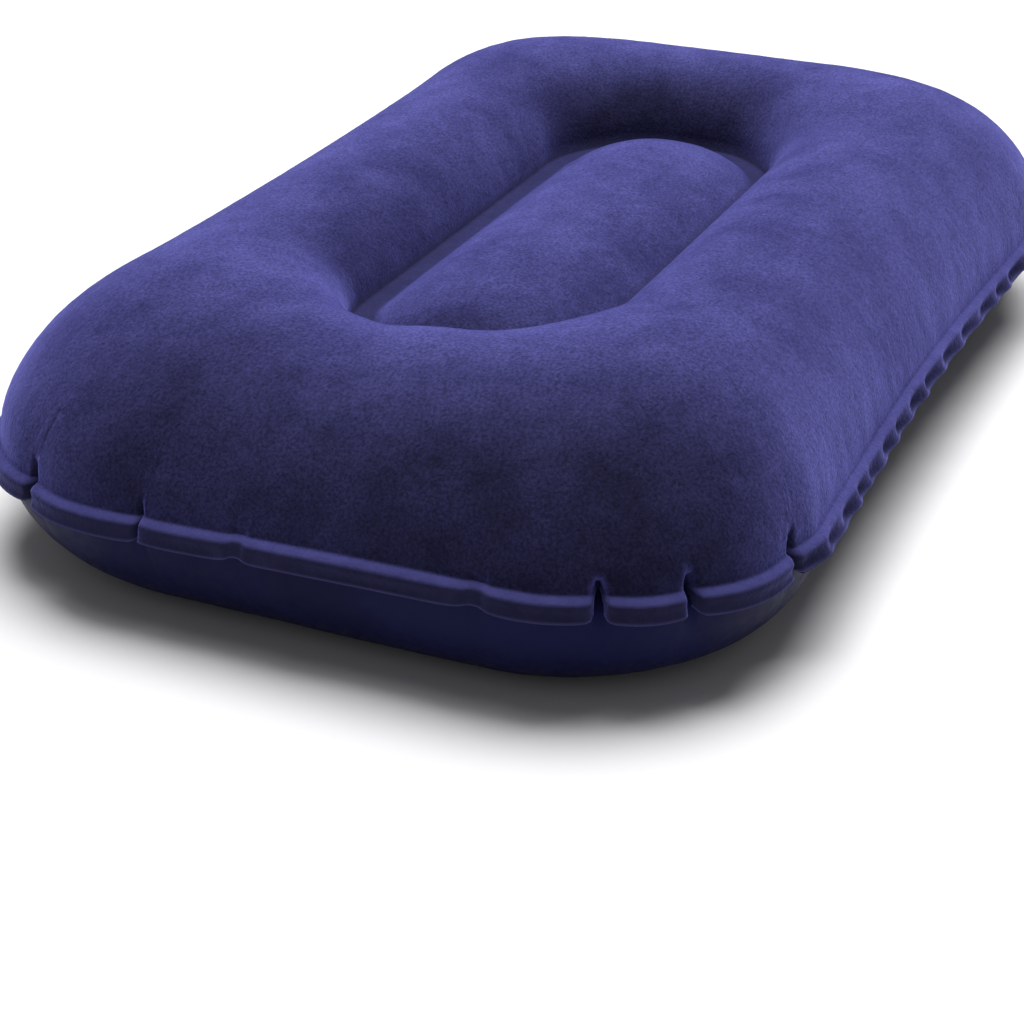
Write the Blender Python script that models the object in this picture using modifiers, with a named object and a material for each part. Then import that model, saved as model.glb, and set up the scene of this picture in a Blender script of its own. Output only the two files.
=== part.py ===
"""Inflatable camp pillow: a flocked top sheet and a plain bottom sheet, welded together, with a push-in air valve.

Metres, +Z up. X runs along the pillow's length and Y across it. The pillow lies on z = 0, centred on the Z axis.
"""

import math

import bmesh
import bpy
from mathutils import Matrix, Vector

# ---- overall sizes of the inflated pillow
LENGTH = 0.435          # over the weld flange, at the middle of the ends
WIDTH = 0.278           # over the weld flange, where it is widest near the corners
FLANGE_REACH = 0.006    # how far the flange stands out from the seam
FLANGE_DROP = 0.0058    # how far its outer edge hangs down
CORNER_R = 0.0758       # plan radius of the seam at the corners
SIDE_PULL = 0.0088      # how far the middle of each long side is drawn in
END_BOW = 0.0027        # how far the middle of each short end bows out
PULL_AT_WIDEST = 0.54   # share of the side pull where the pillow is widest
RUFFLE_END, RUFFLE_SIDE = 0.0004, 0.0010    # height of the flange's ruffles at the ends, and what the sides add
SEAM_HX = LENGTH / 2 - FLANGE_REACH - END_BOW
SEAM_HY = WIDTH / 2 - FLANGE_REACH + PULL_AT_WIDEST * SIDE_PULL

# ---- ring tube
SEAM_Z = 0.0378         # height of the outer seam
WELD_Z = 0.0578         # height of the inner weld
CREST_SIDE = 0.0358     # rise of the top sheet above the welds, along the sides
CREST_CORNER = 0.0433   # the same at the corners
BELLY = 0.0482          # drop of the bottom sheet below the welds

# ---- inner weld and centre cushion
INNER_HX = 0.1124       # half length of the inner weld
INNER_HY = 0.0456       # half width of the inner weld
INNER_R = 0.014
INNER_BOW = 0.0085
WELD_BAND = 0.0085      # width of the pressed weld
CUSHION_RISE = 0.015    # rise of the centre cushion above the inner weld, and its drop below
PASSAGE_RISE = 0.0016   # half height of the air passage left in the inner weld
PASSAGE_HALF_W = 0.012

# ---- film
FILM = 0.0006           # sheet thickness
GAP = 0.0003            # between faces that touch
SEAT = GAP / 2          # each sheet's share of the gap in a weld

# ---- mesh of the sheets: cells on half a long side, half a short end and a corner
NX, NY, NQ = 9, 4, 8
RING_ROWS = 12
CUSHION_ROWS = 5

# ---- valve, heights counted downwards from the centre cushion's outer face at the valve
VALVE_X = 0.045
BORE_R = 0.0038         # the stem's bore
STEM_R = BORE_R + 0.0017
STEM_BACK = 0.0115      # how far the stem reaches inside at rest
RIM_R, RIM_T = STEM_R + 0.0008, 0.0010
BASE_IN_R = RIM_R + 0.0027
BASE_OUT_R = BASE_IN_R + 0.0040
BASE_T = 0.0009
HOLE_R = BASE_IN_R + 0.0006
CUT_UP, CUT_DOWN = 0.006, 0.009             # reach of the hole's and ring's cutters inwards and outwards
SKIRT_BACK, SKIRT_LIP = 0.0080, 0.0010      # how far the skirt folds in, and how far it hangs out of the base
SKIRT_T, SKIRT_FOOT = 0.0005, 0.0014
COLLAR_W, COLLAR_T = 0.0012, 0.0010
CAP_R, CAP_T = RIM_R - GAP, 0.0012
SHANK_R, SHANK_LEN, SHANK_LEAD = BORE_R - 0.00025, 0.0040, 0.0008
SHANK_TIP_R = SHANK_R - 0.00065
TAB_W, TAB_T, TAB_OUT = 0.0050, 0.0008, 0.0037
STRAP_W = 0.0040
STRAP_INSIDE = ((-0.0003, -0.0012), (0.0003, 0.0002), (0.0007, 0.0014), (0.0006, 0.0020), (0.0, 0.0021))
STRAP_OUTSIDE = ((0.0, 0.0029), (0.0011, 0.0026), (0.0015, 0.0015), (0.0010, 0.0001), (0.0004, -0.0012))
HINGE_Y, HINGE_DOWN = RIM_R + 0.0017, 0.0016
FLAP_R, FLAP_T = STEM_R - 0.0005, 0.0006
FLAP_HINGE_Y = FLAP_R - 0.0002
TURN_STEPS = 32


def collection(name, hidden=False):
    made = bpy.data.collections.new(name)
    bpy.context.scene.collection.children.link(made)
    made.hide_render = hidden
    return made


def material(name, colour, roughness):
    made = bpy.data.materials.new(name)
    made.use_nodes = True
    shader = made.node_tree.nodes["Principled BSDF"]
    shader.inputs["Base Color"].default_value = (*colour, 1.0)
    shader.inputs["Roughness"].default_value = roughness
    made.diffuse_color = (*colour, 1.0)
    return made


def add_object(name, bm, home, look=None):
    mesh = bpy.data.meshes.new(name)
    bm.to_mesh(mesh)
    bm.free()
    made = bpy.data.objects.new(name, mesh)
    home.objects.link(made)
    if look:
        mesh.materials.append(look)
    return made


# ------------------------------------------------------------------ plan curves

def round_rectangle(hx, hy, r, bow_x, bow_y):
    """Closed plan curve, anticlockwise, with a fixed number of points on each side and corner."""
    def straight(a, b, count):
        return [(a[0] + (b[0] - a[0]) * i / count, a[1] + (b[1] - a[1]) * i / count) for i in range(count)]

    def arc(cx, cy, start):
        return [(cx + r * math.cos(start + math.pi / 2 * i / NQ), cy + r * math.sin(start + math.pi / 2 * i / NQ))
                for i in range(NQ)]

    x, y = hx - r, hy - r
    points = straight((hx, -y), (hx, y), 2 * NY) + arc(x, y, 0)
    points += straight((x, hy), (-x, hy), 2 * NX) + arc(-x, y, math.pi / 2)
    points += straight((-hx, y), (-hx, -y), 2 * NY) + arc(-x, -y, math.pi)
    points += straight((-x, -hy), (x, -hy), 2 * NX) + arc(x, -y, 1.5 * math.pi)
    bowed = []
    for px, py in points:
        push_x = bow_x * max(0.0, 1 - (py / hy) ** 2) * min(1.0, abs(px) / hx) ** 4
        push_y = bow_y * max(0.0, 1 - (px / hx) ** 2) * min(1.0, abs(py) / hy) ** 4
        bowed.append((px + math.copysign(push_x, px) * (px != 0), py + math.copysign(1, py) * push_y * (py != 0)))
    return bowed


def seam_curve(out=0.0):
    return round_rectangle(SEAM_HX + out, SEAM_HY + out, CORNER_R + out, END_BOW, -SIDE_PULL)


def inner_curve(inset=0.0):
    return round_rectangle(INNER_HX - inset, INNER_HY - inset, INNER_R - inset, INNER_BOW, 0.0)


def corner_share(x, y):
    return min(1.0, 2 * (abs(x) / SEAM_HX * abs(y) / SEAM_HY) ** 6)


def side_share(x, y):
    """1 along the long sides, 0 along the short ends."""
    return min(1.0, max(0.0, (abs(y) / SEAM_HY) ** 4 - corner_share(x, y)))


# ------------------------------------------------------------------ sheet surfaces, row by row from the flange inwards

def flange_rows():
    rows = []
    for reach, drop, wave in ((1.0, 1.0, 1.0), (0.55, 0.25, 0.45)):
        row = []
        for i, (x, y) in enumerate(seam_curve(FLANGE_REACH * reach)):
            ruffle = (1 if i % 2 else -1) * wave * (RUFFLE_END + RUFFLE_SIDE * side_share(x, y))
            row.append((x, y, SEAM_Z - FLANGE_DROP * drop + ruffle))
        rows.append(row)
    return rows


def ring_rows(up):
    outer, inner = seam_curve(), inner_curve()
    rows = []
    for k in range(RING_ROWS, -1, -1):
        turn = math.pi * k / RING_ROWS
        t = (1 - math.cos(turn)) / 2
        row = []
        for (ox, oy), (ix, iy) in zip(outer, inner):
            share = corner_share(ox, oy)
            rise = CREST_SIDE + (CREST_CORNER - CREST_SIDE) * share if up else -BELLY
            z = WELD_Z + (SEAM_Z - WELD_Z) * t + rise * math.sin(turn)
            row.append((ix + (ox - ix) * t, iy + (oy - iy) * t, max(z, FILM + SEAT)))
        rows.append(row)
    return rows


def cushion_rise(x, y):
    """Height of the inflated centre cushion above the inner weld."""
    half_x = INNER_HX - WELD_BAND + INNER_BOW * (1 - (y / INNER_HY) ** 2)
    across = min(1.0, abs(y) / (INNER_HY - WELD_BAND))
    along = min(1.0, abs(x) / half_x)
    return CUSHION_RISE * (1 - across ** 2) ** 0.85 * math.sqrt(1 - along ** 4)


def cushion_rows(up):
    edge = inner_curve(WELD_BAND)
    spine = INNER_HX - INNER_HY
    rows = []
    for k in range(CUSHION_ROWS, -1, -1):
        s = k / CUSHION_ROWS
        row = []
        for ex, ey in edge:
            mx = max(-spine, min(spine, ex))
            x, y = mx + (ex - mx) * s, ey * s
            rise = cushion_rise(x, y) * (1 - s ** 8)
            row.append((x, y, WELD_Z + (rise if up else -rise)))
        rows.append(row)
    return rows


def open_passage(rows, up):
    """Lift the weld band at the middle of the -X end, where the inner weld is left open for the air."""
    for row in rows:
        for i, (x, y, z) in enumerate(row):
            lift = PASSAGE_RISE * max(0.0, 1 - abs(y) / PASSAGE_HALF_W) if x < INNER_HY - INNER_HX else 0.0
            row[i] = (x, y, z + (lift if up else -lift))


def sheet_mesh(up, near, thickness, whole=True):
    """One sheet, or its centre cushion alone, as a closed shell `near` from the shared middle surface."""
    flange, ring, cushion = flange_rows(), ring_rows(up), cushion_rows(up)
    open_passage([ring[-1], cushion[0]], up)
    rows = flange + ring + cushion if whole else cushion
    welded = {0, 1, len(flange + ring) - 1} if whole else set()
    bm = bmesh.new()
    grid = [[bm.verts.new(p) for p in row] for row in rows]
    count = len(rows[0])
    for k, (outer, inner) in enumerate(zip(grid, grid[1:])):
        for i in range(count):
            j = (i + 1) % count
            faces = [(outer[i], outer[j], inner[j], inner[i])]
            if k in welded:  # the same diagonal in both sheets, so that they stay apart
                faces = [(outer[i], outer[j], inner[j]), (outer[i], inner[j], inner[i])]
            for face in faces:
                bm.faces.new(face if up else face[::-1])
    bmesh.ops.remove_doubles(bm, verts=bm.verts[:], dist=1e-5)
    bmesh.ops.dissolve_degenerate(bm, edges=bm.edges[:], dist=1e-6)
    bm.normal_update()
    for v, normal in [(v, v.normal.copy()) for v in bm.verts]:
        v.co += normal * near
    bmesh.ops.solidify(bm, geom=bm.faces[:], thickness=-thickness)
    for v in bm.verts:
        if not up and v.co.z < 0.0002:
            v.co.z = 0.0
    bmesh.ops.recalc_face_normals(bm, faces=bm.faces[:])
    return bm


# ------------------------------------------------------------------ turned and cut pieces

def valve_point(down, x=0.0, y=0.0):
    """A point `down` below the centre cushion's outer face, beside the valve's axis."""
    face = WELD_Z - cushion_rise(VALVE_X, 0.0) - SEAT - FILM
    return Vector((VALVE_X + x, y, face - down))


def turned(name, profile, home, look=None, closed=True):
    """Turn a profile of (radius, down) points about the valve's axis with a Screw modifier."""
    bm = bmesh.new()
    area = sum(a[0] * b[1] - b[0] * a[1] for a, b in zip(profile, profile[1:] + profile[:1]))
    points = [bm.verts.new((r, 0.0, -down)) for r, down in (profile if area > 0 else profile[::-1])]
    for a, b in zip(points, points[1:]):
        bm.edges.new((a, b))
    if closed:
        bm.edges.new((points[-1], points[0]))
    made = add_object(name, bm, home, look)
    made.location = valve_point(0.0)
    screw = made.modifiers.new("turn", "SCREW")
    screw.axis = "Z"
    screw.steps = screw.render_steps = TURN_STEPS
    screw.use_merge_vertices = True
    screw.merge_threshold = 1e-5
    return made


def boolean(target, cutter, operation):
    cut = target.modifiers.new(operation.lower(), "BOOLEAN")
    cut.solver = "EXACT"
    cut.operation = operation
    cut.object = cutter


def as_cutter(made):
    made.hide_render = True
    made.display_type = "WIRE"
    return made


def cylinder(name, radius, low, high, home, segments=48):
    bm = bmesh.new()
    bmesh.ops.create_cone(bm, cap_ends=True, segments=segments, radius1=radius, radius2=radius, depth=high - low)
    made = add_object(name, bm, home)
    made.location = valve_point(-(low + high) / 2)
    return made


def block(name, size, centre, home):
    """A box of (x, y, down) size at (x, y, down) from the valve's mouth."""
    bm = bmesh.new()
    bmesh.ops.create_cube(bm, size=1.0)
    bmesh.ops.scale(bm, vec=size, verts=bm.verts[:])
    made = add_object(name, bm, home)
    made.location = valve_point(centre[2], centre[0], centre[1])
    return made


# ------------------------------------------------------------------ the pieces

def build_sheets(parts, cutters, flock, film):
    add_object("top_sheet", sheet_mesh(True, SEAT, FILM), parts, flock)
    bottom = add_object("bottom_sheet", sheet_mesh(False, SEAT, FILM), parts, film)
    hole = as_cutter(cylinder("cut_valve_hole", HOLE_R, -CUT_UP, CUT_DOWN, cutters))
    boolean(bottom, hole, "DIFFERENCE")


def build_base(parts, cutters, look):
    """A welded ring that follows the curve of the bottom sheet round the hole."""
    base = add_object("valve_base", sheet_mesh(False, SEAT + FILM + GAP, BASE_T, whole=False), parts, look)
    rim = as_cutter(turned("cut_base_ring", [(BASE_IN_R, CUT_DOWN), (BASE_OUT_R, CUT_DOWN), (BASE_OUT_R, -CUT_UP),
                                             (BASE_IN_R, -CUT_UP)], cutters))
    boolean(base, rim, "INTERSECT")


def build_skirt(parts, look):
    """The soft web between the base and the stem, folded inwards while the stem is pushed in."""
    wide, narrow = BASE_IN_R - GAP, STEM_R + GAP
    profile = [(wide, SKIRT_LIP), (wide - SKIRT_T, SKIRT_LIP), (narrow, SKIRT_FOOT - SKIRT_BACK),
               (narrow, -SKIRT_BACK), (narrow + SKIRT_T, -SKIRT_BACK)]
    turned("valve_skirt", profile, parts, look)


def build_stem(parts, look):
    profile = [(BORE_R, RIM_T), (BORE_R, -STEM_BACK), (STEM_R, -STEM_BACK), (STEM_R, 0.0), (RIM_R, 0.0),
               (RIM_R, RIM_T)]
    return turned("valve_stem", profile, parts, look)


def build_strap(parts, cutters, look):
    """A collar under the stem's rim with a bent strap out to the plug's edge."""
    inside, low, high = STEM_R + GAP, -GAP, -GAP - COLLAR_T
    strap = turned("plug_strap", [(inside, low), (inside, high), (inside + COLLAR_W, high), (inside + COLLAR_W, low)],
                   parts, look)
    bm = bmesh.new()
    outline = [bm.verts.new((-STRAP_W / 2, RIM_R + out, -down)) for out, down in STRAP_INSIDE + STRAP_OUTSIDE]
    moved = bmesh.ops.extrude_face_region(bm, geom=[bm.faces.new(outline)])
    bmesh.ops.translate(bm, vec=(STRAP_W, 0, 0), verts=[g for g in moved["geom"] if isinstance(g, bmesh.types.BMVert)])
    bmesh.ops.recalc_face_normals(bm, faces=bm.faces[:])
    arm = add_object("cut_strap_arm", bm, cutters)
    arm.location = valve_point(0.0)
    boolean(strap, as_cutter(arm), "UNION")
    return strap


def build_plug(parts, cutters, look):
    under, face = RIM_T + GAP, RIM_T + GAP + CAP_T
    profile = [(0.0, under - SHANK_LEN), (SHANK_TIP_R, under - SHANK_LEN), (SHANK_R, under - SHANK_LEAD),
               (SHANK_R, under), (CAP_R, under), (CAP_R, face), (0.0, face)]
    plug = turned("valve_plug", profile, parts, look, closed=False)
    inner, outer = CAP_R - (TAB_W - TAB_OUT), CAP_R + TAB_OUT
    tab = block("cut_pull_tab", (TAB_W, outer - inner, TAB_T), (0.0, -(inner + outer) / 2, (under + face) / 2), cutters)
    boolean(plug, as_cutter(tab), "UNION")
    return plug


def build_flap(parts, look):
    """The disc that closes the stem's inner end from inside."""
    back = -STEM_BACK - GAP
    profile = [(0.0, back), (FLAP_R, back), (FLAP_R, back - FLAP_T), (0.0, back - FLAP_T)]
    return turned("check_flap", profile, parts, look, closed=False)


def hang(piece, mark):
    """Make a piece move with the empty on its joint's axis, and leave it where it is."""
    piece.parent = mark
    piece.matrix_parent_inverse = Matrix.Translation(mark.location).inverted()


def axis_mark(name, y, down, home, parent=None):
    """An empty on a joint's axis."""
    mark = bpy.data.objects.new("axis_" + name, None)
    mark.empty_display_size = 0.01
    mark.location = valve_point(down, 0.0, y)
    home.objects.link(mark)
    if parent:
        hang(mark, parent)
    return mark


def build_valve(parts, cutters):
    """The valve's pieces, each with its own look, and the moving ones on their joints' axes."""
    def look(name):
        return material(name, (0.55, 0.60, 0.72), 0.30)

    build_base(parts, cutters, look("valve_base"))
    build_skirt(parts, look("valve_skirt"))
    slide = axis_mark("stem_slide", 0.0, RIM_T, parts)
    hang(build_stem(parts, look("valve_stem")), slide)
    hang(build_strap(parts, cutters, look("plug_strap")), slide)
    hang(build_plug(parts, cutters, look("valve_plug")),
         axis_mark("plug_hinge", HINGE_Y, HINGE_DOWN, parts, slide))
    hang(build_flap(parts, look("check_flap")),
         axis_mark("flap_hinge", FLAP_HINGE_Y, -STEM_BACK - GAP - FLAP_T / 2, parts, slide))


def main():
    for old in list(bpy.data.objects):
        bpy.data.objects.remove(old, do_unlink=True)
    parts = collection("camp_pillow")
    cutters = collection("cutters", hidden=True)
    flock = material("flock", (0.075, 0.073, 0.260), 0.95)
    film = material("film", (0.012, 0.014, 0.055), 0.35)
    build_sheets(parts, cutters, flock, film)
    build_valve(parts, cutters)


main()
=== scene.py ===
"""Looks of an inflatable flocked camp pillow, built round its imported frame.

The air-filled skins are laid out from the same plan curves as the frame's solids, settled as cloth under air
pressure, and then given their flange, their thickness and their finish.
"""

import math

import bmesh
import bpy
import numpy as np
from mathutils import Matrix, Vector


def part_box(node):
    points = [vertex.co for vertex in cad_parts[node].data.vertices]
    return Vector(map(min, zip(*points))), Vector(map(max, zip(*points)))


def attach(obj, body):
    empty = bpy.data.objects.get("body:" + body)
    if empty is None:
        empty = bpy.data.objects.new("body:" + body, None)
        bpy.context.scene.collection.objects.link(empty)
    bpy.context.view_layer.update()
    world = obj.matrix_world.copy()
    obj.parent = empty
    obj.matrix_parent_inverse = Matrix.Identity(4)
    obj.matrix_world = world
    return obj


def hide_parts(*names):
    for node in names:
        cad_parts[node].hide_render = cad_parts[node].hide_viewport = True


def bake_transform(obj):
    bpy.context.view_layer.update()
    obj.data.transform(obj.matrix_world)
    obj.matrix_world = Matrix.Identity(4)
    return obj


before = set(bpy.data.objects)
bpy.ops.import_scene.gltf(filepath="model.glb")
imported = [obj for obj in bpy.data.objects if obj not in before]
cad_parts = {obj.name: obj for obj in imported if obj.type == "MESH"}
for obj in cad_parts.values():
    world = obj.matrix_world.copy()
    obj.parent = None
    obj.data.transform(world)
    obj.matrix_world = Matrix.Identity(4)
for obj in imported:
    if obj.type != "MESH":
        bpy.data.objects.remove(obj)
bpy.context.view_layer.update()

# ---- plan of the pillow, as in the frame
SIDE_PULL = 0.0088
END_BOW = 0.0027
CORNER_R = 0.0758
SEAM_HX = 0.2088
SEAM_HY = 0.13775
SEAM_Z = 0.0378
WELD_Z = 0.0578
CREST_SIDE = 0.0358
CREST_CORNER = 0.0433
BELLY = 0.0482
INNER_HX = 0.1124
INNER_HY = 0.0456
INNER_R = 0.034
INNER_BOW = 0.0085
WELD_BAND = 0.0085
CUSHION_RISE = 0.015
PASSAGE_RISE = 0.0016
PASSAGE_HALF, PASSAGE_X = 0.010, -0.09     # the air passage: half its width, and where the weld is nearer -X
FILM = 0.0005           # thickness of a finished skin
SEAT = 0.00022          # half the gap between the skins in a weld

# ---- valve, from the frame's own stem: centre, and the bottom sheet's face there
STEM_LOW, STEM_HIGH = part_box("valve_stem")
STEM_RIM_T = 0.0010
VALVE = ((STEM_LOW.x + STEM_HIGH.x) / 2, (STEM_LOW.y + STEM_HIGH.y) / 2, STEM_LOW.z + STEM_RIM_T)
HOLE_R = 0.0096
BASE_IN_R, BASE_OUT_R = 0.0090, 0.0130
STEM_R, BORE_R, STEM_RIM_R = 0.0055, 0.0038, 0.0063
STEM_BACK, SKIRT_BACK = 0.0115, 0.0080
CAP_R, CAP_T = 0.0060, 0.0012
SHANK_R, SHANK_TIP_R, SHANK_LEN = 0.00355, 0.0029, 0.0040
STRAP_W, STRAP_T = 0.0040, 0.0006
TAB_W, TAB_T = 0.0050, 0.0008
FLAP_R, FLAP_T = 0.0050, 0.0006
VALVE_GAP = 0.0003
TURN_STEPS = 96

# ---- mesh of the skins
FINE_X, FINE_Y, FINE_Q = 220, 96, 180      # plan curve points on half a long side, half a short end, a corner
COLUMNS = 760
CROWD, CROWD_WIDTH = 5.5, 0.0036           # extra columns at a tuck, and over what half width
TOP_ROWS, BELLY_ROWS = 34, 34
CUSHION_ROWS = 11
BAND_ROWS = 3
ROW_POWER = 1.45                           # rows lie closer together towards the seam
FAN_ROWS, FAN_SPACING = 5, 0.0009          # the cushion's innermost rows are thinned out to this spacing
FILLET_PASSES = 3
SEED = 11

# ---- air pressure
AIR_FRAMES, AIR_PRESSURE, AIR_CAP = 12, 7.0, 0.005      # no point moves further than the cap
SLACK_REACH = 0.035                        # the skins have spare film up to this far from the seam
EVENING_PASSES = 40                        # the cushion's moves are evened out this many times
VALVE_STILL = 0.026                        # and fade out this near the valve

# ---- section of the welded edge, from the seam outwards: (out, down) in metres
EDGE_ON_CREST = ((0.0010, 0.0001), (0.0021, 0.0004), (0.0031, 0.0009), (0.0040, 0.0015), (0.0047, 0.0022),
                 (0.0053, 0.0029), (0.0057, 0.0037), (0.0060, 0.0044), (0.0062, 0.0051))
EDGE_IN_HOLLOW = ((0.0011, 0.0000), (0.0022, 0.0002), (0.0028, 0.0008), (0.0026, 0.0018), (0.0022, 0.0029),
                  (0.0021, 0.0040), (0.0026, 0.0050), (0.0037, 0.0057), (0.0051, 0.0061))
EDGE_HANGING = ((0.0011, 0.0001), (0.0021, 0.0005), (0.0030, 0.0010), (0.0035, 0.0017), (0.0034, 0.0027),
                (0.0033, 0.0038), (0.0034, 0.0050), (0.0037, 0.0060), (0.0042, 0.0068))

# ---- where the seam is tucked in: plan place, depth and half width, all in metres
TUCKS = (
    (-0.2040, 0.0935, 0.0080, 0.0017),
    (-0.2111, 0.0500, 0.0036, 0.0010),
    (-0.2115, 0.0160, 0.0010, 0.0026),
    (-0.2111, -0.0590, 0.0012, 0.0034),
    (-0.2037, -0.0924, 0.0090, 0.0023),
    (-0.1880, -0.1138, 0.0088, 0.0021),
    (-0.1530, -0.1312, 0.0075, 0.0019),
    (-0.1600, 0.1300, 0.0062, 0.0020),
    (0.2030, -0.0930, 0.0060, 0.0018),
    (0.1850, -0.1170, 0.0052, 0.0016),
    (0.1560, -0.1308, 0.0058, 0.0020),
    (0.2113, -0.0350, 0.0040, 0.0016),
    (0.2113, 0.0420, 0.0044, 0.0016),
    (0.2035, 0.0925, 0.0062, 0.0018),
    (0.1580, 0.1304, 0.0060, 0.0020),
)
END_LIFT, END_LIFT_Y, END_LIFT_HALF = 0.0030, -0.030, 0.090    # the seam rides a little higher at the ends
END_FROM, END_FADE = 0.10, 0.06
NEAR_DIP, NEAR_DIP_Y, NEAR_DIP_HALF = 0.0036, 0.026, 0.048     # the -X crest is lower, +Y of its middle
NEAR_END_X = -0.15
WIDE_SHARE, WIDE_FACTOR = 0.20, 5.0        # each tuck also draws in a wider, shallower stretch
CLOSE_FACTOR = 1.6                         # and the strip is drawn in over this many half widths
SHARP_REACH, SOFT_REACH = 0.0034, 0.034    # how far up the tube the two reach

# ---- ruffle crests: x along the -Y and +Y sides, y across the -X and +X ends
RUFFLES_RIGHT = (-0.139, -0.123, -0.105, -0.090, -0.076, -0.058, -0.040, -0.021, 0.002, 0.026, 0.051, 0.073,
                 0.090, 0.114, 0.138)
RUFFLES_LEFT = (-0.141, -0.118, -0.097, -0.074, -0.053, -0.034, -0.012, 0.010, 0.033, 0.054, 0.078, 0.100,
                0.121, 0.142)
RUFFLES_NEAR_END = (0.046, 0.017, 0.003, -0.056)
RUFFLES_FAR_END = (0.070, 0.024, -0.006, -0.061)
RUFFLE_WIDTH = 0.0060
RUFFLE_PULL, RUFFLE_LIFT = 0.0003, 0.0002  # how far a crest pulls the wall out and up
LONG_SIDE_X, SHORT_END_X = 0.150, 0.195    # ruffles lie inside the first and beyond the second
HOLLOW_X, HOLLOW_FADE, HOLLOW_Y = 0.160, 0.02, 0.1      # the strip folds under itself along the sides
SEAM_WANDER, TUCK_LIFT = 0.0008, 0.12      # how the seam rises and falls, and how much a tuck lifts it
SWAY, SWAY_FROM = 0.10, 0.004              # how the hanging strip leans, in radians, from this far down
CLOSING = 0.10                             # the strip is this much smaller at a tuck

# ---- room, light and camera
FLOOR_R, FLOOR_STEPS = 1.05, 96
SKY_LIGHT, SKY_SEEN = 0.19, 1.0            # the pale surround lights the pillow less than it shows
CAMERA_PLACE, CAMERA_LENS = (-0.7336, -0.3015, 0.3597), 83.5
CAMERA_AZIMUTH, CAMERA_ELEVATION, CAMERA_ROLL = 23.956, 27.199, 0.106      # degrees


# ------------------------------------------------------------------ plan curves

def round_rectangle(hx, hy, r, bow_x, bow_y):
    """Closed anticlockwise plan curve with a fixed number of points on each side and corner."""
    def straight(a, b, count):
        step = np.arange(count)[:, None] / count
        return np.array(a) + (np.array(b) - np.array(a)) * step

    def arc(cx, cy, start):
        turn = start + math.pi / 2 * np.arange(FINE_Q) / FINE_Q
        return np.column_stack([cx + r * np.cos(turn), cy + r * np.sin(turn)])

    x, y = hx - r, hy - r
    points = np.vstack([
        straight((hx, -y), (hx, y), 2 * FINE_Y), arc(x, y, 0.0),
        straight((x, hy), (-x, hy), 2 * FINE_X), arc(-x, y, math.pi / 2),
        straight((-hx, y), (-hx, -y), 2 * FINE_Y), arc(-x, -y, math.pi),
        straight((-x, -hy), (x, -hy), 2 * FINE_X), arc(x, -y, 1.5 * math.pi),
    ])
    px, py = points[:, 0].copy(), points[:, 1].copy()
    points[:, 0] += (np.sign(px) * bow_x * np.maximum(0, 1 - (py / hy) ** 2)
                     * np.minimum(1, np.abs(px) / hx) ** 4)
    points[:, 1] += (np.sign(py) * bow_y * np.maximum(0, 1 - (px / hx) ** 2)
                     * np.minimum(1, np.abs(py) / hy) ** 4)
    return points


def whole_seam():
    return round_rectangle(SEAM_HX, SEAM_HY, CORNER_R, END_BOW, -SIDE_PULL)


def arc_length(curve):
    """(distance along the closed curve of each point, whole length)."""
    steps = np.linalg.norm(np.roll(curve, -1, axis=0) - curve, axis=1)
    return np.concatenate([[0.0], np.cumsum(steps)[:-1]]), steps.sum()


def gap_along(place, total, at):
    """Distance along the closed curve from a place on it."""
    return np.abs((place - at + total / 2) % total - total / 2)


def nearest(curve, x, y):
    return np.argmin(np.hypot(curve[:, 0] - x, curve[:, 1] - y))


def column_places():
    """Where the columns lie, as point numbers on the whole curves: closer together at the tucks."""
    curve = whole_seam()
    place, total = arc_length(curve)
    crowd = np.ones(len(curve))
    for x, y, _, _ in TUCKS:
        away = gap_along(place, total, place[nearest(curve, x, y)])
        crowd += CROWD * np.exp(-(away / CROWD_WIDTH) ** 2)
    filled = np.concatenate([[0.0], np.cumsum(crowd * np.diff(np.append(place, total)))])
    wanted = np.arange(COLUMNS) / COLUMNS * filled[-1]
    return np.interp(wanted, filled, np.arange(len(curve) + 1))


PLACES = column_places()


def at_columns(curve):
    """The points of a whole curve at the columns."""
    closed = np.vstack([curve, curve[:1]])
    number = np.arange(len(closed))
    return np.column_stack([np.interp(PLACES, number, closed[:, 0]), np.interp(PLACES, number, closed[:, 1])])


def seam_curve():
    return at_columns(whole_seam())


def inner_curve(inset=0.0):
    return at_columns(round_rectangle(INNER_HX - inset, INNER_HY - inset, INNER_R - inset, INNER_BOW, 0.0))


def outward(curve):
    """Unit plan normals of a closed anticlockwise curve."""
    along = np.roll(curve, -1, axis=0) - np.roll(curve, 1, axis=0)
    along /= np.linalg.norm(along, axis=1)[:, None]
    return np.column_stack([along[:, 1], -along[:, 0]])


def smooth_noise(place, total, waves, seed):
    """Noise along a closed curve, about -1 to 1, from a few sine waves of random phase."""
    random = np.random.default_rng(seed)
    t = place / total * 2 * math.pi
    wave = sum(random.normal() * np.sin(w * t + random.uniform(0, 2 * math.pi)) for w in waves)
    return wave / max(1e-9, np.abs(wave).max())


def tuck_fields(seam):
    """(narrow depth, wide depth, closeness) of the tucks at each column."""
    place, total = arc_length(seam)
    narrow, wide, close = np.zeros(len(seam)), np.zeros(len(seam)), np.zeros(len(seam))
    for x, y, deep, half in TUCKS:
        away = gap_along(place, total, place[nearest(seam, x, y)])
        narrow += deep * np.exp(-(away / half) ** 4)
        wide += WIDE_SHARE * deep * np.exp(-(away / (WIDE_FACTOR * half)) ** 2)
        close = np.maximum(close, np.exp(-(away / (CLOSE_FACTOR * half)) ** 2))
    return narrow, wide, close


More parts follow.
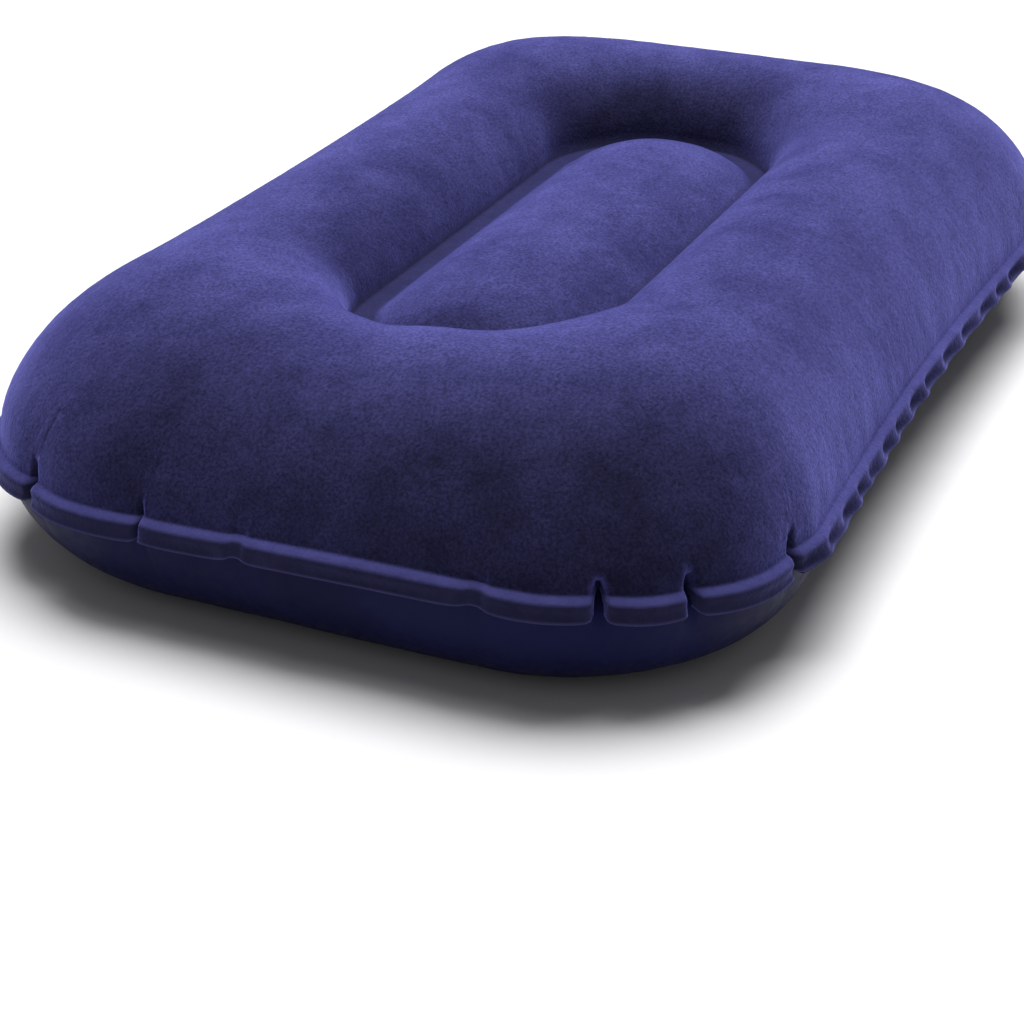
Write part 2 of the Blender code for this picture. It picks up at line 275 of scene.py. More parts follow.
def crest_field(seam):
    """How far each column is on a ruffle crest: 1 on a crest, 0 in a hollow."""
    random = np.random.default_rng(SEED)
    crest = np.zeros(len(seam))
    long_side = np.abs(seam[:, 0]) < LONG_SIDE_X
    short_end = np.abs(seam[:, 0]) > SHORT_END_X
    for axis, side, on, places in ((0, -1, long_side, RUFFLES_RIGHT), (0, 1, long_side, RUFFLES_LEFT),
                                   (1, -1, short_end, RUFFLES_NEAR_END), (1, 1, short_end, RUFFLES_FAR_END)):
        other = seam[:, 1] if axis == 0 else seam[:, 0]
        here = on & (np.sign(other) == side)
        for at in places:
            width = RUFFLE_WIDTH * random.uniform(0.75, 1.25)
            height = random.uniform(0.65, 1.0) if axis == 0 else random.uniform(0.35, 0.7)
            ridge = height * np.exp(-((seam[:, axis] - at) / width) ** 2)
            crest = np.where(here, np.maximum(crest, ridge), crest)
    return crest


# ------------------------------------------------------------------ skins before the air goes in

def corner_share(x, y):
    return np.minimum(1.0, 2 * (np.abs(x) / SEAM_HX * np.abs(y) / SEAM_HY) ** 6)


def ring_rows(up, rows):
    """Points of the ring tube from the seam to the inner weld, shape (rows + 1, columns, 3)."""
    inner, outer = inner_curve(), seam_curve()
    share = corner_share(outer[:, 0], outer[:, 1])
    rise = CREST_SIDE + (CREST_CORNER - CREST_SIDE) * share if up else np.full(len(outer), -BELLY)
    if up:
        near_end = outer[:, 0] < NEAR_END_X
        rise = rise - near_end * NEAR_DIP * np.exp(-((outer[:, 1] - NEAR_DIP_Y) / NEAR_DIP_HALF) ** 2)
    out = []
    for k in range(rows + 1):
        turn = math.pi * (1 - (k / rows) ** ROW_POWER)
        t = (1 - math.cos(turn)) / 2
        z = WELD_Z + (SEAM_Z - WELD_Z) * t + rise * math.sin(turn)
        out.append(np.column_stack([inner + (outer - inner) * t, np.maximum(z, FILM + SEAT)]))
    return np.array(out)


def draw_in(rows, narrow, wide, lift):
    """Pull the tube in at the tucks: a sharp fold that dies out quickly, and a shallow one that goes on."""
    normal = outward(seam_curve())
    steps = np.linalg.norm(np.diff(rows, axis=0), axis=2)
    away = np.concatenate([np.zeros((1, rows.shape[1])), np.cumsum(steps, axis=0)])
    sharp = np.exp(-(away / SHARP_REACH) ** 1.3)
    soft = np.clip(1 - away / SOFT_REACH, 0, 1) ** 2
    inwards = narrow * sharp + wide * soft
    rows[..., :2] -= normal * inwards[..., None]
    rows[..., 2] += lift * soft
    return rows


def cushion_rise(x, y):
    half_x = INNER_HX - WELD_BAND + INNER_BOW * (1 - (y / INNER_HY) ** 2)
    across = np.minimum(1.0, np.abs(y) / (INNER_HY - WELD_BAND))
    along = np.minimum(1.0, np.abs(x) / half_x)
    return CUSHION_RISE * (1 - across ** 2) ** 0.75 * np.sqrt(1 - along ** 4)


def cushion_rows(up):
    edge = inner_curve(WELD_BAND)
    spine = np.clip(edge[:, 0], -(INNER_HX - INNER_HY), INNER_HX - INNER_HY)
    out = []
    for k in range(CUSHION_ROWS, 0, -1):
        s = k / CUSHION_ROWS
        x, y = spine + (edge[:, 0] - spine) * s, edge[:, 1] * s
        rise = cushion_rise(x, y) * (1 - s ** 8)
        out.append(np.column_stack([x, y, WELD_Z + (rise if up else -rise)]))
    return np.array(out)


def band_rows(up):
    """The pressed inner weld, with the air passage left open at the middle of the -X end."""
    first, last = inner_curve(), inner_curve(WELD_BAND)
    out = []
    for k in range(1, BAND_ROWS):
        xy = first + (last - first) * k / BAND_ROWS
        out.append(np.column_stack([xy, np.full(len(xy), WELD_Z)]))
    rows = np.array(out)
    across = np.clip(1 - np.abs(rows[..., 1]) / PASSAGE_HALF, 0, 1)
    gap = PASSAGE_RISE * across ** 1.5 * (rows[..., 0] < PASSAGE_X)
    rows[..., 2] += gap if up else -gap
    return rows


# ------------------------------------------------------------------ air pressure, by Blender's cloth solver

def grid_faces(rows, count, flip=False, start=0):
    k, i = np.meshgrid(np.arange(rows - 1), np.arange(count), indexing="ij")
    j = (i + 1) % count
    corners = [k * count + i, k * count + j, (k + 1) * count + j, (k + 1) * count + i]
    quads = np.stack(corners, -1).reshape(-1, 4)
    return (quads[:, ::-1] if flip else quads) + start


def close_loop(loop, start, flip=False):
    """Triangles that close a long flat loop, joined across from its +Y side to its -Y side."""
    count = len(loop)
    first, last = int(np.argmax(loop[:, 0])), int(np.argmin(loop[:, 0]))
    left = [(first + n) % count for n in range((last - first) % count + 1)]
    right = [(first - n) % count for n in range((first - last) % count + 1)]
    i = j = 0
    made = []
    while i < len(left) - 1 or j < len(right) - 1:
        ahead = j == len(right) - 1 or (i < len(left) - 1 and loop[left[i + 1], 0] >= loop[right[j + 1], 0])
        if ahead:
            corners = (left[i], left[i + 1], right[j])
            i += 1
        else:
            corners = (left[i], right[j + 1], right[j])
            j += 1
        if len(set(corners)) == 3:
            made.append([start + c for c in (corners[::-1] if flip else corners)])
    return made


def inflate(points, faces, held, slack, frames, pressure, cap):
    """Settle a skin as cloth under air pressure. held: points that stay; slack: where there is spare film."""
    mesh = bpy.data.meshes.new("settling")
    mesh.from_pydata(points.tolist(), [], faces)
    mesh.update()
    obj = bpy.data.objects.new("settling", mesh)
    bpy.context.scene.collection.objects.link(obj)
    held_group = obj.vertex_groups.new(name="held")
    slack_group = obj.vertex_groups.new(name="slack")
    held_group.add(np.flatnonzero(held).tolist(), 1.0, "REPLACE")
    for level in range(1, 9):
        chosen = np.flatnonzero(np.round(slack * 8).astype(int) == level)
        if len(chosen):
            slack_group.add(chosen.tolist(), level / 8, "REPLACE")
    cloth = obj.modifiers.new("air", "CLOTH")
    settings = cloth.settings
    settings.quality = 6
    settings.mass = 0.0006
    settings.air_damping = 4.0
    settings.tension_stiffness = settings.compression_stiffness = 24.0
    settings.shear_stiffness = 10.0
    settings.bending_stiffness = 0.35
    settings.tension_damping = settings.compression_damping = settings.shear_damping = 8.0
    settings.bending_damping = 1.0
    settings.vertex_group_mass = "held"
    settings.pin_stiffness = 1.0
    settings.use_pressure = True
    settings.uniform_pressure_force = pressure
    settings.vertex_group_shrink = "slack"
    settings.shrink_min = 0.0
    settings.shrink_max = -0.05
    settings.effector_weights.gravity = 0.0
    cloth.collision_settings.use_collision = False
    cloth.point_cache.frame_start, cloth.point_cache.frame_end = 1, frames + 1
    scene = bpy.context.scene
    for number in range(1, frames + 1):
        scene.frame_set(number)
    graph = bpy.context.evaluated_depsgraph_get()
    settled = obj.evaluated_get(graph).to_mesh()
    result = np.empty(len(points) * 3)
    settled.vertices.foreach_get("co", result)
    result = result.reshape(-1, 3)
    bpy.data.objects.remove(obj, do_unlink=True)
    scene.frame_set(1)
    moved = result - points
    far = np.linalg.norm(moved, axis=1)[:, None]
    return points + moved * np.minimum(1.0, cap / np.maximum(far, 1e-9))


def evened(moves, passes):
    """Moves of a (rows, columns) grid, averaged with their neighbours several times over."""
    for _ in range(passes):
        inner = (np.roll(moves, 1, axis=1) + np.roll(moves, -1, axis=1)) / 2
        padded = np.concatenate([moves[:1], moves, moves[-1:]])
        moves = (moves * 2 + inner + (padded[:-2] + padded[2:]) / 2) / 4
    return moves


def settle_skins(skins):
    """Blow up the ring and the centre cushion; every weld and the seam stay where they are."""
    count = skins[0].shape[1]
    flat = [rows.reshape(-1, 3) for rows in skins]
    starts = np.concatenate([[0], np.cumsum([len(f) for f in flat])])
    points = np.vstack(flat)
    faces, held, slack = [], np.zeros(len(points), bool), np.zeros(len(points))
    for n, rows in enumerate(skins):
        faces += grid_faces(len(rows), count, flip=n % 2 == 1, start=starts[n]).tolist()
        if n >= 2:
            faces += close_loop(rows[-1], int(starts[n + 1]) - count, flip=n % 2 == 1)
        held[starts[n]:starts[n] + count] = True
        if n < 2:
            held[starts[n + 1] - count:starts[n + 1]] = True
            steps = np.linalg.norm(np.diff(rows, axis=0), axis=2)
            away = np.concatenate([np.zeros((1, count)), np.cumsum(steps, axis=0)])
            slack[starts[n]:starts[n + 1]] = np.clip(1 - away / SLACK_REACH, 0, 1).reshape(-1)
    settled = inflate(points, faces, held, slack, AIR_FRAMES, AIR_PRESSURE, AIR_CAP)
    moved = settled - points
    out = []
    for n, rows in enumerate(skins):
        moves = moved[starts[n]:starts[n + 1]].reshape(rows.shape)
        if n >= 2:
            from_valve = np.hypot(rows[..., 0] - VALVE[0], rows[..., 1] - VALVE[1])
            moves = evened(moves, EVENING_PASSES) * (1 - np.exp(-(from_valve / VALVE_STILL) ** 4))[..., None]
        out.append(rows + moves)
        out[-1][..., 2] = np.maximum(out[-1][..., 2], FILM + SEAT)
    return out


# ------------------------------------------------------------------ finished skins

def edge_rows(first, crest, close):
    """The welded edge, cut edge first: a ledge out from the seam, then a strip that hangs and ruffles."""
    place, total = arc_length(seam_curve())
    normal = outward(seam_curve())
    normal = (normal + np.roll(normal, 3, axis=0) + np.roll(normal, -3, axis=0)) / 3
    normal /= np.linalg.norm(normal, axis=1)[:, None]
    on_side = np.clip((HOLLOW_X - np.abs(first[:, 0])) / HOLLOW_FADE, 0, 1) * (np.abs(first[:, 1]) > HOLLOW_Y)
    sway = SWAY * smooth_noise(place, total, range(7, 23), SEED + 2)
    rows = []
    for on_crest, in_hollow, hanging in zip(EDGE_ON_CREST, EDGE_IN_HOLLOW, EDGE_HANGING):
        low = np.array(hanging) + (np.array(in_hollow) - np.array(hanging)) * on_side[:, None]
        section = low + (np.array(on_crest) - low) * crest[:, None]
        section = section * (1 - CLOSING * close[:, None])
        tilt = sway * min(1.0, hanging[1] / SWAY_FROM)
        out = section[:, 0] * np.cos(tilt) + section[:, 1] * np.sin(tilt)
        down = section[:, 1] * np.cos(tilt) - section[:, 0] * np.sin(tilt)
        rows.append(np.column_stack([first[:, :2] + normal * out[:, None], first[:, 2] - down]))
    return np.array(rows[::-1])


def softened(rows, seam_row):
    """Round the inner corner where the tube turns out into its edge."""
    rows = rows.copy()
    for _ in range(FILLET_PASSES):
        near = slice(seam_row - 1, seam_row + 4)
        before, after = rows[seam_row - 2:seam_row + 3], rows[seam_row:seam_row + 5]
        rows[near] = rows[near] * 0.5 + (before + after) * 0.25
    return rows


def shell(name, rows, up, look):
    """A closed skin of even thickness from rows of points, cut edge first. Returns the object."""
    count = rows.shape[1]
    faces = grid_faces(len(rows), count, flip=not up).tolist()
    faces += close_loop(rows[-1], (len(rows) - 1) * count, flip=not up)
    mesh = bpy.data.meshes.new(name)
    mesh.from_pydata(rows.reshape(-1, 3).tolist(), [], faces)
    mesh.update()
    edge = len(EDGE_HANGING)
    weld = edge + (TOP_ROWS if up else BELLY_ROWS)
    pressed = np.zeros((len(rows), count))
    pressed[:edge - 3] = 1.0
    pressed[edge - 3] = 0.3
    pressed[weld:weld + BAND_ROWS + 1] = 1.0
    # The ledge mask marks where the flock finish paints a highlight.
    ledge = np.zeros((len(rows), count))
    ledge[edge - 3:edge] = 1.0
    ledge[edge] = 0.5
    # The cut mask marks the cut edge, where the flock finish paints a highlight line.
    cut = np.zeros((len(rows), count))
    cut[0] = 1.0
    for label, values in (("pressed", pressed), ("ledge", ledge), ("cut", cut)):
        layer = mesh.attributes.new(label, "FLOAT", "POINT")
        layer.data.foreach_set("value", values.reshape(-1).astype(np.float32))
    bm = bmesh.new()
    bm.from_mesh(mesh)
    bm.verts.ensure_lookup_table()
    crowded = bm.verts[(len(rows) - FAN_ROWS) * count:]
    bmesh.ops.remove_doubles(bm, verts=crowded, dist=FAN_SPACING)
    bm.normal_update()
    for vert, normal in [(v, v.normal.copy()) for v in bm.verts]:
        vert.co += normal * SEAT
    bm.to_mesh(mesh)
    bm.free()
    obj = bpy.data.objects.new(name, mesh)
    bpy.context.scene.collection.objects.link(obj)
    wall = obj.modifiers.new("film", "SOLIDIFY")
    wall.thickness = FILM
    wall.offset = 1.0
    mesh.materials.append(look)
    return plain_mesh(obj)


def plain_mesh(obj):
    """Bake an object's modifiers into its mesh and shade it smooth."""
    graph = bpy.context.evaluated_depsgraph_get()
    made = bpy.data.meshes.new_from_object(obj.evaluated_get(graph))
    obj.modifiers.clear()
    obj.data = made
    made.shade_smooth()
    return obj


def build_skins():
    seam = seam_curve()
    place, total = arc_length(seam)
    narrow, wide, close = tuck_fields(seam)
    crest = crest_field(seam)
    wide = wide - RUFFLE_PULL * crest
    wander = SEAM_WANDER * smooth_noise(place, total, range(3, 9), SEED + 1)
    lift = wander + RUFFLE_LIFT * crest + TUCK_LIFT * (wide + narrow)
    on_end = np.clip((np.abs(seam[:, 0]) - END_FROM) / END_FADE, 0, 1)
    lift += END_LIFT * on_end * np.exp(-((seam[:, 1] - END_LIFT_Y) / END_LIFT_HALF) ** 2)
    top = draw_in(ring_rows(True, TOP_ROWS), narrow, wide, lift)
    belly = draw_in(ring_rows(False, BELLY_ROWS), narrow, wide, lift)
    skins = [top, belly, cushion_rows(True), cushion_rows(False)]
    skins = settle_skins(skins)
    top, belly, top_cushion, belly_cushion = skins
    edge = edge_rows(top[0], crest, close)
    top_rows = softened(np.concatenate([edge, top, band_rows(True), top_cushion]), len(edge))
    flock = shell("flocked_top", top_rows, True, flock_finish())
    belly_rows = np.concatenate([edge, belly, band_rows(False), belly_cushion])
    film = shell("smooth_bottom", belly_rows, False, film_finish())
    cut_valve_hole(film)
    return flock, film


def cut_valve_hole(film):
    """Open the bottom sheet for the valve."""
    bm = bmesh.new()
    bmesh.ops.create_cone(bm, cap_ends=True, segments=96, radius1=HOLE_R, radius2=HOLE_R, depth=0.016)
    mesh = bpy.data.meshes.new("hole")
    bmesh.ops.translate(bm, vec=(VALVE[0], VALVE[1], VALVE[2]), verts=bm.verts[:])
    bm.to_mesh(mesh)
    bm.free()
    punch = bpy.data.objects.new("hole", mesh)
    bpy.context.scene.collection.objects.link(punch)
    cut = film.modifiers.new("hole", "BOOLEAN")
    cut.solver = "EXACT"
    cut.operation = "DIFFERENCE"
    cut.object = punch
    plain_mesh(film)
    bpy.data.objects.remove(punch, do_unlink=True)


# ------------------------------------------------------------------ valve

def rounded(profile, radius, steps=4):
    """A closed profile of (radius, down) points with its corners rounded."""
    out = []
    count = len(profile)
    for n, here in enumerate(profile):
        here = Vector(here)
        before, after = Vector(profile[n - 1]), Vector(profile[(n + 1) % count])
        to_before, to_after = before - here, after - here
        on_axis = here.x < 1e-6
        reach = min(radius, to_before.length * 0.45, to_after.length * 0.45)
        turn = to_before.angle(to_after) if to_before.length and to_after.length else math.pi
        if on_axis or turn > math.radians(165):
            out.append((here.x, here.y))
            continue
        a, b = here + to_before.normalized() * reach, here + to_after.normalized() * reach
        for k in range(steps + 1):
            t = k / steps
            point = a * (1 - t) ** 2 + here * 2 * t * (1 - t) + b * t ** 2
            out.append((point.x, point.y))
    return out


def turned(name, profile, look, ground=None):
    """Turn a closed profile about the valve's axis. ground: (x, y) -> how much higher the sheet is there."""
    area = sum(a[0] * b[1] - b[0] * a[1] for a, b in zip(profile, profile[1:] + profile[:1]))
    profile = profile if area > 0 else profile[::-1]
    bm = bmesh.new()
    rings = []
    for r, down in profile:
        ring = []
        for k in range(TURN_STEPS if r > 1e-6 else 1):
            turn = 2 * math.pi * k / TURN_STEPS
            x, y = VALVE[0] + r * math.cos(turn), VALVE[1] + r * math.sin(turn)
            extra = ground(x, y) if ground else 0.0
            ring.append(bm.verts.new((x, y, VALVE[2] - down + extra)))
        rings.append(ring)
    for a, b in zip(rings, rings[1:] + rings[:1]):
        if len(a) == 1 and len(b) == 1:
            continue
        for k in range(TURN_STEPS):
            corners = [a[k % len(a)], a[(k + 1) % len(a)], b[(k + 1) % len(b)], b[k % len(b)]]
            bm.faces.new(list(dict.fromkeys(corners)))
    bmesh.ops.recalc_face_normals(bm, faces=bm.faces[:])
    return finished(name, bm, look)


def finished(name, bm, look):
    mesh = bpy.data.meshes.new(name)
    bm.to_mesh(mesh)
    bm.free()
    mesh.shade_smooth()
    mesh.materials.append(look)
    obj = bpy.data.objects.new(name, mesh)
    bpy.context.scene.collection.objects.link(obj)
    return obj


def sheet_drop(x, y):
    """How much higher the bottom sheet's face lies at a point than at the valve's axis."""
    return float(cushion_rise(np.array(VALVE[0]), np.array(0.0)) - cushion_rise(np.array(x), np.array(y)))


def ribs_tree(name):
    """Small ribs round a circle: count, circle radius and rib size are inputs, and so is the finish."""
    tree = bpy.data.node_groups.new(name, "GeometryNodeTree")
    face = tree.interface
    face.new_socket("Geometry", in_out="INPUT", socket_type="NodeSocketGeometry")
    face.new_socket("Count", in_out="INPUT", socket_type="NodeSocketInt").default_value = 24
    sizes = {"Circle radius": 0.01, "Rib length": 0.001, "Rib width": 0.0004, "Rib height": 0.0003}
    for label, value in sizes.items():
        face.new_socket(label, in_out="INPUT", socket_type="NodeSocketFloat").default_value = value
    face.new_socket("Finish", in_out="INPUT", socket_type="NodeSocketMaterial")
    face.new_socket("Geometry", in_out="OUTPUT", socket_type="NodeSocketGeometry")
    nodes, links = tree.nodes, tree.links
    inputs = nodes.new("NodeGroupInput").outputs
    circle = nodes.new("GeometryNodeMeshCircle")
    links.new(inputs["Count"], circle.inputs["Vertices"])
    links.new(inputs["Circle radius"], circle.inputs["Radius"])
    size = nodes.new("ShaderNodeCombineXYZ")
    links.new(inputs["Rib length"], size.inputs["X"])
    links.new(inputs["Rib width"], size.inputs["Y"])
    links.new(inputs["Rib height"], size.inputs["Z"])
    rib = nodes.new("GeometryNodeMeshUVSphere")
    rib.inputs["Segments"].default_value = 10
    rib.inputs["Rings"].default_value = 6
    rib.inputs["Radius"].default_value = 0.5
    shaped = nodes.new("GeometryNodeTransform")
    links.new(rib.outputs["Mesh"], shaped.inputs["Geometry"])
    links.new(size.outputs["Vector"], shaped.inputs["Scale"])
    place = nodes.new("GeometryNodeInputPosition")
    turn = nodes.new("FunctionNodeAlignRotationToVector")
    turn.axis = "X"
    turn.pivot_axis = "Z"
    links.new(place.outputs["Position"], turn.inputs["Vector"])
    copies = nodes.new("GeometryNodeInstanceOnPoints")
    links.new(circle.outputs["Mesh"], copies.inputs["Points"])
    links.new(shaped.outputs["Geometry"], copies.inputs["Instance"])
    links.new(turn.outputs["Rotation"], copies.inputs["Rotation"])
    real = nodes.new("GeometryNodeRealizeInstances")
    links.new(copies.outputs["Instances"], real.inputs["Geometry"])
    coat = nodes.new("GeometryNodeSetMaterial")
    links.new(real.outputs["Geometry"], coat.inputs["Geometry"])
    links.new(inputs["Finish"], coat.inputs["Material"])
    links.new(coat.outputs["Geometry"], nodes.new("NodeGroupOutput").inputs["Geometry"])
    return tree


def ribs(tree, values, look, down, ground=None):
    """A mesh of ribs from the tree, laid at a depth below the valve's mouth."""
    obj = bpy.data.objects.new("ribs", bpy.data.meshes.new("ribs"))
    bpy.context.scene.collection.objects.link(obj)
    grown = obj.modifiers.new("ribs", "NODES")
    grown.node_group = tree
    for item in tree.interface.items_tree:
        if item.in_out == "INPUT" and item.name in values:
            grown[item.identifier] = values[item.name]
        if item.in_out == "INPUT" and item.name == "Finish":
            grown[item.identifier] = look
    graph = bpy.context.evaluated_depsgraph_get()
    made = bpy.data.meshes.new_from_object(obj.evaluated_get(graph))
    bpy.data.objects.remove(obj, do_unlink=True)
    for vert in made.vertices:
        x, y = VALVE[0] + vert.co.x, VALVE[1] + vert.co.y
        vert.co = (x, y, VALVE[2] - down + vert.co.z + (ground(x, y) if ground else 0.0))
    return made


def joined(obj, *meshes):
    """Add other meshes to an object's own mesh."""
    bm = bmesh.new()
    bm.from_mesh(obj.data)
    for mesh in meshes:
        bm.from_mesh(mesh)
    bm.to_mesh(obj.data)
    bm.free()
    obj.data.shade_smooth()
    return obj


def build_valve_base(look, tree):
    """The ring welded round the hole, with a bead at its mouth and a rim of small weld ribs."""
    top = VALVE_GAP * 0.5
    profile = rounded([(BASE_IN_R, top), (BASE_OUT_R, top), (BASE_OUT_R, top + 0.0004),
                       (BASE_IN_R + 0.0014, top + 0.0005), (BASE_IN_R + 0.0010, top + 0.0011),
                       (BASE_IN_R, top + 0.0011)], 0.00022)
    base = turned("valve_ring", profile, look, sheet_drop)
    values = {"Count": 40, "Circle radius": (BASE_IN_R + BASE_OUT_R) / 2 + 0.0006, "Rib length": 0.0018,
              "Rib width": 0.0005, "Rib height": 0.00035}
    return joined(base, ribs(tree, values, look, top + 0.00042, sheet_drop))


def build_valve_skirt(look):
    """The soft web from the ring in to the stem."""
    wide, narrow, thick = BASE_IN_R - VALVE_GAP, STEM_R + VALVE_GAP, 0.0005
    outer = [(wide, 0.0009), (wide, -0.0006), (wide - 0.0006, -0.0022), (narrow + 0.0013, -0.0046),
             (narrow + thick, -0.0066), (narrow + thick, -SKIRT_BACK)]
    inner = [(narrow, -SKIRT_BACK), (narrow, -0.0068), (narrow + 0.0008, -0.0048), (wide - 0.0011, -0.0024),
             (wide - thick, -0.0006), (wide - thick, 0.0009)]
    return turned("valve_skirt_web", rounded(outer + inner, 0.0003, 3), look)


def build_valve_stem(look):
    """The mouthpiece tube, with a rim to hold by and two holding rings on its neck."""
    low = STEM_RIM_T
    bead_r = STEM_R + 0.0002
    profile = [(BORE_R, low), (BORE_R, -STEM_BACK), (STEM_R, -STEM_BACK), (STEM_R, -0.0058),
               (bead_r, -0.0054), (bead_r, -0.0048), (STEM_R, -0.0044), (STEM_R, -0.0034),
               (bead_r, -0.0030), (bead_r, -0.0024), (STEM_R, -0.0020), (STEM_R, 0.0),
               (STEM_RIM_R, 0.0), (STEM_RIM_R, low)]
    return turned("valve_stem_tube", rounded(profile, 0.00024, 3), look)


def strip(path, width, thick, steps=3):
    """A rounded strip of even thickness along a path of (y, down) points, as a bmesh in the frame."""
    bm = bmesh.new()
    half_w, half_t = width / 2, thick / 2
    section = []
    for cx, cy, start in ((half_w - half_t, 0, -90), (-(half_w - half_t), 0, 90)):
        for k in range(2 * steps + 1):
            turn = math.radians(start + 180 * k / (2 * steps))
            section.append((cx + half_t * math.cos(turn), cy + half_t * math.sin(turn)))
    rings = []
    for n, (y, down) in enumerate(path):
        before, after = Vector(path[max(0, n - 1)]), Vector(path[min(len(path) - 1, n + 1)])
        along = (after - before).normalized()
        normal = Vector((-along.y, along.x))
        ring = [bm.verts.new((VALVE[0] + sx, VALVE[1] + y + normal.x * sn, VALVE[2] - down - normal.y * sn))
                for sx, sn in section]
        rings.append(ring)
    for a, b in zip(rings, rings[1:]):
        for k in range(len(section)):
            bm.faces.new([a[k], a[(k + 1) % len(section)], b[(k + 1) % len(section)], b[k]])
    bm.faces.new(rings[0])
    bm.faces.new(rings[-1][::-1])
    bmesh.ops.recalc_face_normals(bm, faces=bm.faces[:])
    return bm


def smooth_path(points, steps=5):
    """A Catmull-Rom curve through (y, down) points."""
    points = [Vector(p) for p in points]
    points = [points[0] * 2 - points[1]] + points + [points[-1] * 2 - points[-2]]
    out = []
    for a, b, c, d in zip(points, points[1:], points[2:], points[3:]):
        for k in range(steps):
            t = k / steps
            square, cube = 2 * a - 5 * b + 4 * c - d, 3 * b - a - 3 * c + d
            at = 0.5 * (2 * b + (c - a) * t + square * t * t + cube * t ** 3)
            out.append((at.x, at.y))
    return out + [(points[-2].x, points[-2].y)]


def build_strap(look):
    """A collar under the stem's rim and the bent strap that holds the plug."""
    low, high = -0.0003, -0.0013
    inside, outside = STEM_R + VALVE_GAP, 0.0070
    ring = rounded([(inside, low), (inside, high), (outside, high), (outside, low)], 0.0002, 3)
    collar = turned("plug_strap_band", ring, look)
    path = smooth_path([(0.0064, -0.0008), (0.0070, -0.0001), (0.0074, 0.0010), (0.0073, 0.0019),
                        (0.0067, 0.0025), (CAP_R - VALVE_GAP, 0.0025)])
    bm = strip(path, STRAP_W, STRAP_T)
    arm = bpy.data.meshes.new("arm")
    bm.to_mesh(arm)
    bm.free()
    return joined(collar, arm)


def build_plug(look, tree):
    """The plug: a shallow dished cap with a ribbed rim, a sealing ring on its shank and a pull tab."""
    under, face = STEM_RIM_T + VALVE_GAP, STEM_RIM_T + VALVE_GAP + CAP_T
    neck_r, bead_r = SHANK_R - 0.0002, SHANK_R + 0.0001
    profile = rounded([(0.0, under - SHANK_LEN), (SHANK_TIP_R, under - SHANK_LEN), (neck_r, under - 0.0018),
                       (bead_r, under - 0.0014), (bead_r, under - 0.0009), (neck_r, under - 0.0005),
                       (SHANK_R - 0.0001, under), (CAP_R, under), (CAP_R, face), (CAP_R - 0.0011, face),
                       (CAP_R - 0.0017, face - 0.0004), (0.0, face - 0.0004)], 0.00028, 4)
    plug = turned("valve_plug_cap", profile, look)
    middle = (under + face) / 2
    tab_path = [(-CAP_R + 0.0006, middle), (-CAP_R - 0.0012, middle), (-CAP_R - 0.0036, middle)]
    tab = strip(smooth_path(tab_path), TAB_W, TAB_T)
    tab_mesh = bpy.data.meshes.new("tab")
    tab.to_mesh(tab_mesh)
    tab.free()
    values = {"Count": 36, "Circle radius": CAP_R - 0.0006, "Rib length": 0.0008, "Rib width": 0.00035,
              "Rib height": 0.00022}
    return joined(plug, tab_mesh, ribs(tree, values, look, face))


def build_flap(look):
    """The disc over the stem's inner end."""
    back = -STEM_BACK - VALVE_GAP
    profile = rounded([(0.0, back), (FLAP_R, back), (FLAP_R, back - FLAP_T), (0.0, back - FLAP_T)], 0.0002, 3)
    return turned("check_flap_disc", profile, look)


def build_valve():
    look = valve_finish()
    tree = ribs_tree("valve_ribs")
    base = build_valve_base(look, tree)
    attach(base, "pillow")
    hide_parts("valve_base")
    skirt = build_valve_skirt(look)
    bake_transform(skirt)
    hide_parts("valve_skirt")
    stem = build_valve_stem(look)
    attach(stem, "stem")
    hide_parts("valve_stem")
    strap = build_strap(look)
    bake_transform(strap)
    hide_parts("plug_strap")
    plug = build_plug(look, tree)
    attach(plug, "plug")
    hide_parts("valve_plug")
    flap = build_flap(look)
    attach(flap, "flap")
    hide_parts("check_flap")


# ------------------------------------------------------------------ finishes

